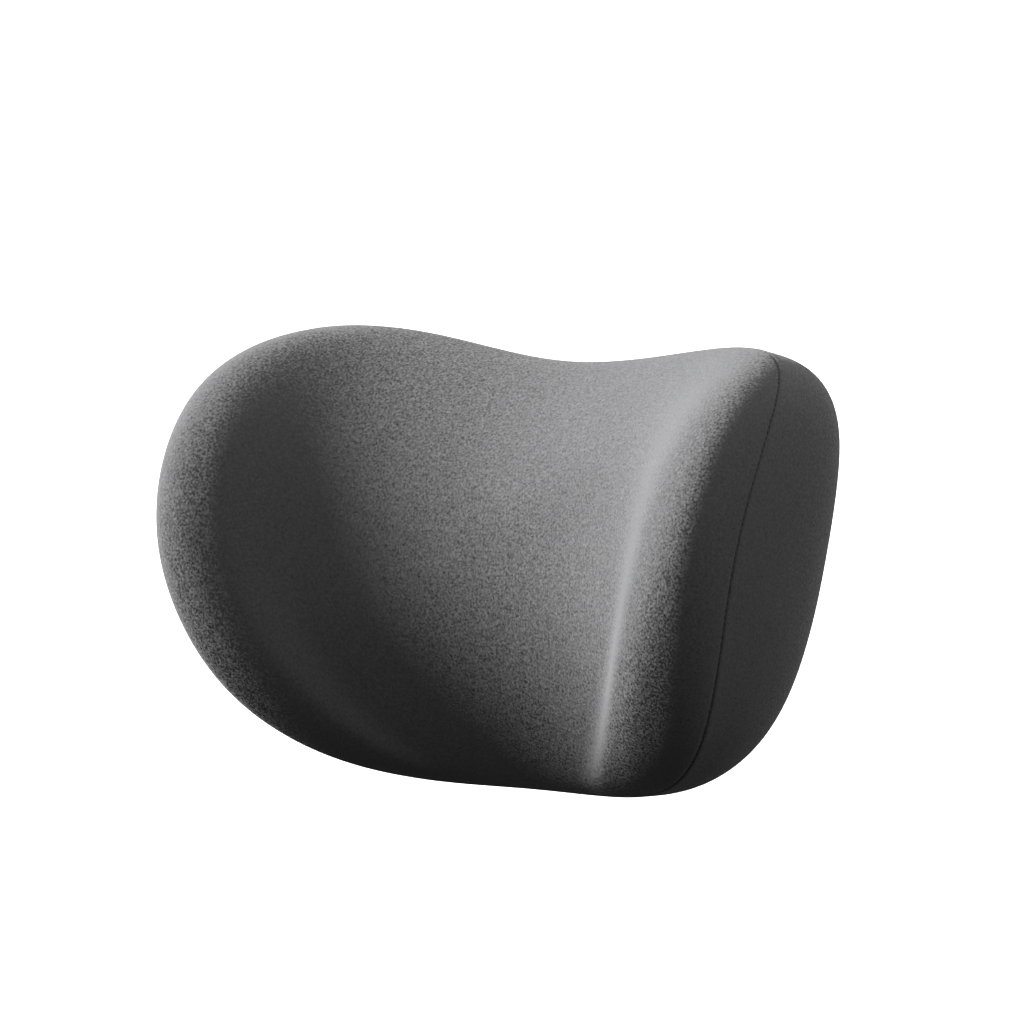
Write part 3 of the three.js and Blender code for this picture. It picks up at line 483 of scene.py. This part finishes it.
def seam_thread():
    """The sewing thread: one short, round-ended stitch after another along the seam."""
    angle, run = seam_run()
    count = round(run[-1] / STITCH_PITCH)
    at = np.interp(np.linspace(0, run[-1], count, endpoint=False), run, angle)
    spread = np.full_like(at, AT_SEAM)
    points, normals = skin(FRONT, at, spread), skin_normal(FRONT, at, spread)
    ahead = unit(np.roll(points, -1, 0) - np.roll(points, 1, 0))
    sideways = unit(np.cross(ahead, normals))
    around = np.linspace(0, 2 * math.pi, STITCH_SIDES, endpoint=False)
    along = np.array(STITCH_STATIONS) * STITCH_LENGTH
    arch = STITCH_ARCH * (1 - (2 * along / STITCH_LENGTH) ** 2)
    to_tip = np.abs(along) / (STITCH_TIP * STITCH_LENGTH)
    girth = STITCH_RADIUS * np.sqrt(np.maximum(1 - to_tip**STITCH_TIP_POWER, 0))
    rings = (
        points[:, None, None]
        + ahead[:, None, None] * along[None, :, None, None]
        + normals[:, None, None] * (arch[None, :, None, None] - STITCH_DEPTH)
        + normals[:, None, None] * (girth[:, None] * np.cos(around))[None, :, :, None]
        + sideways[:, None, None] * (girth[:, None] * np.sin(around))[None, :, :, None]
    )
    vertices = rings.reshape(-1, 3)
    per_stitch = len(along) * len(around)
    faces = []
    for k in range(count):
        faces += tube_faces(k * per_stitch, len(along), len(around))
    piece = make_mesh("seam_thread", place_pad_points(vertices), faces)
    piece.data.shade_smooth()
    piece.data.materials.append(thread())
    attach(piece, "pad")


# ---------------------------------------------------------------------------------------
# Materials
# ---------------------------------------------------------------------------------------

NOISE_MIDDLE = (0.5, 0.5, 0.5)
NOISE_LOW = 0.3
NOISE_HIGH = 0.7
MIX_SHARE, MIX_FIRST, MIX_SECOND, MIX_RESULT = 0, 6, 7, 2  # a colour mix node's sockets


class Look:
    """A node material with one Principled shader and a few short ways to feed it."""

    def __init__(self, name, color, roughness, metallic=0.0, **sockets):
        self.material = bpy.data.materials.new(name)
        self.material.use_nodes = True
        self.tree = self.material.node_tree
        self.shader = self.tree.nodes["Principled BSDF"]
        self.set(self.shader, "Base Color", (*color, 1))
        self.set(self.shader, "Roughness", roughness)
        self.set(self.shader, "Metallic", metallic)
        for socket, value in sockets.items():
            self.set(self.shader, socket.replace("_", " "), value)
        self.place = self.tree.nodes.new("ShaderNodeTexCoord").outputs["Object"]

    @staticmethod
    def set(node, socket, value):
        node.inputs[socket].default_value = value

    def link(self, source, node, socket):
        self.tree.links.new(source, node.inputs[socket])

    def noise_node(self, size_mm, detail=2.0, roughness=0.5, stretch=None):
        node = self.tree.nodes.new("ShaderNodeTexNoise")
        self.set(node, "Scale", 1 / (size_mm * MM))
        self.set(node, "Detail", detail)
        self.set(node, "Roughness", roughness)
        source = self.place
        if stretch:
            mapping = self.tree.nodes.new("ShaderNodeMapping")
            self.set(mapping, "Scale", stretch)
            self.link(source, mapping, "Vector")
            source = mapping.outputs["Vector"]
        self.link(source, node, "Vector")
        return node

    def noise(self, size_mm, **settings):
        return self.noise_node(size_mm, **settings).outputs["Fac"]

    def vector_math(self, operation, first, second=None):
        node = self.tree.nodes.new("ShaderNodeVectorMath")
        node.operation = operation
        self.tree.links.new(first, node.inputs[0])
        if isinstance(second, tuple):
            node.inputs[1].default_value = second
        elif second is not None:
            self.tree.links.new(second, node.inputs[1])
        return node

    def tipped_normal(self, size_mm, amount):
        """The surface normal tipped at random, in patches of about size_mm."""
        noise = self.noise_node(size_mm, detail=1)
        centred = self.vector_math("SUBTRACT", noise.outputs["Color"], NOISE_MIDDLE)
        scaled = self.vector_math("SCALE", centred.outputs["Vector"])
        self.set(scaled, "Scale", amount)
        plain = self.tree.nodes.new("ShaderNodeNewGeometry").outputs["Normal"]
        tipped = self.vector_math("ADD", scaled.outputs["Vector"], plain)
        return self.vector_math("NORMALIZE", tipped.outputs["Vector"]).outputs["Vector"]

    def ramp(self, source, low, high):
        """Carries the middle range of a noise to values from low to high."""
        node = self.tree.nodes.new("ShaderNodeMapRange")
        self.set(node, "From Min", NOISE_LOW)
        self.set(node, "From Max", NOISE_HIGH)
        self.set(node, "To Min", low)
        self.set(node, "To Max", high)
        self.link(source, node, "Value")
        return node.outputs["Result"]

    def tint(self, source, dark, light):
        node = self.tree.nodes.new("ShaderNodeMix")
        node.data_type = "RGBA"
        node.inputs[MIX_FIRST].default_value = (*dark, 1)
        node.inputs[MIX_SECOND].default_value = (*light, 1)
        self.tree.links.new(source, node.inputs[MIX_SHARE])
        return node.outputs[MIX_RESULT]

    def add(self, first, second):
        node = self.tree.nodes.new("ShaderNodeMath")
        node.operation = "ADD"
        self.tree.links.new(first, node.inputs[0])
        self.tree.links.new(second, node.inputs[1])
        return node.outputs["Value"]

    def bump(self, height, strength, distance_mm, below=None):
        node = self.tree.nodes.new("ShaderNodeBump")
        self.set(node, "Strength", strength)
        self.set(node, "Distance", distance_mm * MM)
        self.link(height, node, "Height")
        if below:
            self.link(below, node, "Normal")
        return node.outputs["Normal"]


_made = {}


def once(build):
    """Makes each material the first time that it is asked for."""
    def give():
        if build.__name__ not in _made:
            _made[build.__name__] = build()
        return _made[build.__name__]
    return give


@once
def cover_fabric():
    """Short-napped knit: its grain, about a millimetre across, tips this way and that."""
    look = Look("cover_fabric", (0.08, 0.08, 0.082), 0.95, Sheen_Weight=0.06,
                Sheen_Roughness=0.5, Specular_IOR_Level=0.1)
    grain = look.noise(1.1, detail=1.5)
    nap = look.noise(0.4, detail=1)
    cloud = look.noise(40, detail=2)
    mottle = look.add(look.ramp(grain, low=0, high=0.8), look.ramp(cloud, low=0, high=0.2))
    shade = look.tint(mottle, (0.073, 0.073, 0.075), (0.093, 0.093, 0.095))
    look.link(shade, look.shader, "Base Color")
    tipped = look.tipped_normal(size_mm=1.0, amount=1.0)
    fuzzy = look.bump(nap, strength=0.4, distance_mm=0.12, below=tipped)
    look.link(fuzzy, look.shader, "Normal")
    return look.material


@once
def thread():
    look = Look("thread", (0.03, 0.03, 0.031), 0.6, Sheen_Weight=0.2)
    twist = look.noise(0.3, stretch=(1, 4, 4))
    look.link(look.tint(twist, (0.02, 0.02, 0.021), (0.045, 0.045, 0.046)),
              look.shader, "Base Color")
    look.link(look.bump(twist, strength=0.5, distance_mm=0.1), look.shader, "Normal")
    return look.material


@once
def foam():
    look = Look("foam", (0.7, 0.62, 0.4), 1.0)
    cells = look.noise(0.9, detail=3, roughness=0.7)
    look.link(look.tint(cells, (0.55, 0.47, 0.28), (0.8, 0.72, 0.5)), look.shader, "Base Color")
    look.link(look.bump(cells, strength=0.8, distance_mm=0.5), look.shader, "Normal")
    return look.material


@once
def plywood():
    look = Look("plywood", (0.5, 0.3, 0.12), 0.7)
    grain = look.noise(9, detail=4, roughness=0.65, stretch=(0.12, 3, 1))
    look.link(look.tint(grain, (0.36, 0.2, 0.08), (0.62, 0.4, 0.19)), look.shader, "Base Color")
    look.link(look.bump(grain, strength=0.3, distance_mm=0.3), look.shader, "Normal")
    return look.material


@once
def black_nylon():
    look = Look("black_nylon", (0.014, 0.014, 0.015), 0.5)
    texture = look.noise(0.35, detail=1)
    wear = look.noise(22, detail=4, roughness=0.6)
    look.link(look.ramp(wear, low=0.44, high=0.6), look.shader, "Roughness")
    look.link(look.tint(wear, (0.011, 0.011, 0.012), (0.02, 0.02, 0.021)),
              look.shader, "Base Color")
    look.link(look.bump(texture, strength=0.35, distance_mm=0.12), look.shader, "Normal")
    return look.material


@once
def acetal():
    look = Look("acetal", (0.75, 0.74, 0.7), 0.35, Subsurface_Weight=0.05)
    haze = look.noise(6, detail=2)
    look.link(look.ramp(haze, low=0.3, high=0.42), look.shader, "Roughness")
    look.link(look.bump(look.noise(0.6), strength=0.15, distance_mm=0.1), look.shader, "Normal")
    return look.material


@once
def black_steel():
    look = Look("black_steel", (0.016, 0.016, 0.018), 0.42)
    orange_peel = look.noise(0.8, detail=2)
    dust = look.noise(14, detail=5, roughness=0.7)
    look.link(look.ramp(dust, low=0.36, high=0.52), look.shader, "Roughness")
    look.link(look.tint(dust, (0.012, 0.012, 0.014), (0.024, 0.024, 0.026)),
              look.shader, "Base Color")
    look.link(look.bump(orange_peel, strength=0.5, distance_mm=0.15), look.shader, "Normal")
    return look.material


@once
def zinc_steel():
    look = Look("zinc_steel", (0.55, 0.56, 0.58), 0.3, 1.0)
    bloom = look.noise(3, detail=3)
    look.link(look.tint(bloom, (0.42, 0.43, 0.46), (0.62, 0.63, 0.64)),
              look.shader, "Base Color")
    look.link(look.ramp(bloom, low=0.25, high=0.42), look.shader, "Roughness")
    look.link(look.bump(look.noise(0.25), strength=0.2, distance_mm=0.05), look.shader, "Normal")
    return look.material


@once
def cast_aluminium():
    look = Look("cast_aluminium", (0.4, 0.41, 0.43), 0.45, 1.0)
    blasted = look.noise(0.4, detail=2)
    stain = look.noise(11, detail=3)
    look.link(look.tint(stain, (0.33, 0.34, 0.36), (0.46, 0.47, 0.49)),
              look.shader, "Base Color")
    look.link(look.ramp(stain, low=0.4, high=0.52), look.shader, "Roughness")
    look.link(look.bump(blasted, strength=0.5, distance_mm=0.12), look.shader, "Normal")
    return look.material


LOOK_OF_SLOT = {
    "cover_fabric": cover_fabric,
    "foam": foam,
    "plywood": plywood,
    "black_nylon": black_nylon,
    "acetal": acetal,
    "black_steel": black_steel,
    "zinc_steel": zinc_steel,
    "cast_aluminium": cast_aluminium,
}

# How the CAD nodes are finished, in millimetres unless said.
EDGE_RADIUS = {"black_nylon": 0.5, "black_steel": 0.4, "cast_aluminium": 0.7}
OTHER_EDGE_RADIUS = 0.15
FLAT_ANGLE = math.radians(0.5)
HARD_ANGLE = math.radians(38)
WELD_DISTANCE = 2e-6  # metres
FOAM_SHRINK = 5.0


def dress_cad_nodes():
    """Gives each carried-over CAD node its material, and its hard edges a small radius."""
    for row in frame["record"]["subparts"]:
        node = frame["nodes"][row["node"]]
        slot = row["material_slot"]
        node.data.materials.clear()
        node.data.materials.append(LOOK_OF_SLOT[slot]())
        if slot == "foam":
            shrink_under_cover(node)
        elif slot != "cover_fabric":
            soften_edges(node, EDGE_RADIUS.get(slot, OTHER_EDGE_RADIUS))


def weld(node):
    modifier = node.modifiers.new("weld", "WELD")
    modifier.merge_threshold = WELD_DISTANCE


def shrink_under_cover(node):
    """Draws the foam in a little, so its flat facets stay below the smooth cover."""
    weld(node)
    shrink = node.modifiers.new("shrink", "DISPLACE")
    shrink.mid_level = 0
    shrink.strength = -FOAM_SHRINK * MM


def soften_edges(node, radius_mm):
    """Rounds the hard edges of a faceted node and shades the rest of it smooth."""
    node.data.shade_smooth()
    weld(node)
    flat = node.modifiers.new("flat", "DECIMATE")
    flat.decimate_type = "DISSOLVE"
    flat.angle_limit = FLAT_ANGLE
    bevel = node.modifiers.new("bevel", "BEVEL")
    bevel.width = radius_mm * MM
    bevel.segments = 2
    bevel.limit_method = "ANGLE"
    bevel.angle_limit = HARD_ANGLE
    bevel.harden_normals = True
    weighted = node.modifiers.new("weighted", "WEIGHTED_NORMAL")
    weighted.weight = 100


# ---------------------------------------------------------------------------------------
# Studio
# ---------------------------------------------------------------------------------------

# The camera: its direction from the pad, and how far it aims beside the pad's middle, metres.
AZIMUTH = math.radians(38.4)
ELEVATION = math.radians(5.7)
ROLL = math.radians(-0.42)
DISTANCE = 4.751
LENS = 395.4
AIM_RIGHT = -0.0173
AIM_UP = 0.0163

# The dim sky: its strength grows along the axis.
SKY_DARK_BELOW = -0.75
SKY_ABOVE = 0.95
SKY_AXIS = (0.1, 0.3, 0.95)
WHITE = (1, 1, 1, 1)


def view_axes():
    """Directions from the pad to the camera, and to the picture's right and top."""
    back = Vector((
        math.sin(AZIMUTH) * math.cos(ELEVATION),
        -math.cos(AZIMUTH) * math.cos(ELEVATION),
        math.sin(ELEVATION),
    ))
    level = Vector((math.cos(AZIMUTH), math.sin(AZIMUTH), 0))
    right = Matrix.Rotation(ROLL, 3, back) @ level
    return back, right, back.cross(right)


def camera():
    back, right, up = view_axes()
    pad_middle = pad_matrix().translation
    data = bpy.data.cameras.new("camera")
    data.lens = LENS
    data.clip_end = 50
    eye = bpy.data.objects.new("camera", data)
    bpy.context.scene.collection.objects.link(eye)
    eye.location = pad_middle + right * AIM_RIGHT + up * AIM_UP + back * DISTANCE
    eye.rotation_mode = "QUATERNION"
    eye.rotation_quaternion = Matrix((right, up, back)).transposed().to_quaternion()
    bpy.context.scene.camera = eye


def sun(name, azimuth, elevation, strength, softness):
    """A soft directional light. Azimuth 0 shines from the front and 90 from the left."""
    data = bpy.data.lights.new(name, "SUN")
    data.energy = strength
    data.angle = math.radians(softness)
    lamp = bpy.data.objects.new(name, data)
    bpy.context.scene.collection.objects.link(lamp)
    a, e = math.radians(azimuth), math.radians(elevation)
    source = Vector((-math.sin(a) * math.cos(e), -math.cos(a) * math.cos(e), math.sin(e)))
    lamp.rotation_mode = "QUATERNION"
    lamp.rotation_quaternion = source.to_track_quat("Z", "Y")


def surroundings():
    """White to the camera. To the object, a dim sky, brightest above and a little behind."""
    world = bpy.data.worlds.new("studio")
    world.use_nodes = True
    tree = world.node_tree
    direction = tree.nodes.new("ShaderNodeTexCoord")
    height = tree.nodes.new("ShaderNodeVectorMath")
    height.operation = "DOT_PRODUCT"
    height.inputs[1].default_value = SKY_AXIS
    tree.links.new(direction.outputs["Generated"], height.inputs[0])
    level = tree.nodes.new("ShaderNodeMapRange")
    level.inputs["From Min"].default_value = SKY_DARK_BELOW
    level.inputs["To Max"].default_value = SKY_ABOVE
    tree.links.new(height.outputs["Value"], level.inputs["Value"])
    dim = tree.nodes["Background"]
    dim.inputs["Color"].default_value = WHITE
    tree.links.new(level.outputs["Result"], dim.inputs["Strength"])
    bright = tree.nodes.new("ShaderNodeBackground")
    bright.inputs["Color"].default_value = WHITE
    path = tree.nodes.new("ShaderNodeLightPath")
    mix = tree.nodes.new("ShaderNodeMixShader")
    tree.links.new(path.outputs["Is Camera Ray"], mix.inputs[0])
    tree.links.new(dim.outputs[0], mix.inputs[1])
    tree.links.new(bright.outputs[0], mix.inputs[2])
    tree.links.new(mix.outputs[0], tree.nodes["World Output"].inputs["Surface"])
    bpy.context.scene.world = world


def floor():
    """A pale sheet well below the object, which is held up by its mounting face."""
    size, drop = 60.0, 0.35
    low = cad_box[0].z - drop
    corners = [(-size, -size, low), (size, -size, low), (size, size, low), (-size, size, low)]
    sheet = make_mesh("floor", corners, [(0, 1, 2, 3)])
    look = Look("floor", (0.9, 0.9, 0.9), 0.9)
    look.link(look.ramp(look.noise(600), low=0.88, high=0.92), look.shader, "Roughness")
    sheet.data.materials.append(look.material)
    sheet.visible_diffuse = False
    sheet.visible_glossy = False


def studio():
    camera()
    sun("key", azimuth=76, elevation=23, strength=15, softness=24)
    sun("back_fill", azimuth=165, elevation=8, strength=1.0, softness=30)
    surroundings()
    floor()
    bpy.context.scene.view_settings.view_transform = "Standard"


# ---------------------------------------------------------------------------------------
# Build
# ---------------------------------------------------------------------------------------

studio()
dress_cad_nodes()
coarse_lines, displacement_of = swell()
panel_lines = fine_lines()
cover_panel("front_panel", FRONT, panel_lines, coarse_lines, displacement_of[FRONT], "front_cover")
cover_panel("rear_panel", REAR, panel_lines, coarse_lines, displacement_of[REAR], "rear_cover")
seam_thread()
